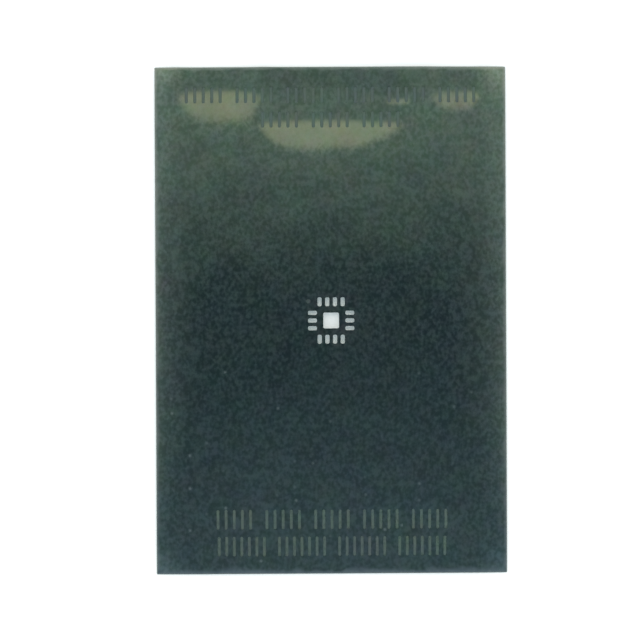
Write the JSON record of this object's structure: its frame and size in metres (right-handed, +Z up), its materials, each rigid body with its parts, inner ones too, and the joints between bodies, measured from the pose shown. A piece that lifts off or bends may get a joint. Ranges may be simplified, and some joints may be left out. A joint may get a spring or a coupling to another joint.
{
  "type": "solder paste stencil",
  "caption": "Thin rectangular steel foil with rounded lead slots around a square opening, used to print solder paste onto the lands of a small leadless package.",
  "frame": {"origin": "middle of the underside, which is also the centre of the aperture pattern", "axes": "+Z up out of the printed side, +Y along the long side towards the head, where the dot for the first lead is on the -X side"},
  "size_m": [0.0228, 0.033, 0.0001],
  "materials": {
    "stainless_foil": "rolled foil, dark and slightly green as it reflects, with a fine even grain"
  },
  "bodies": {
    "root": {"stencil_sheet": "stainless_foil"}
  },
  "joints": []
}
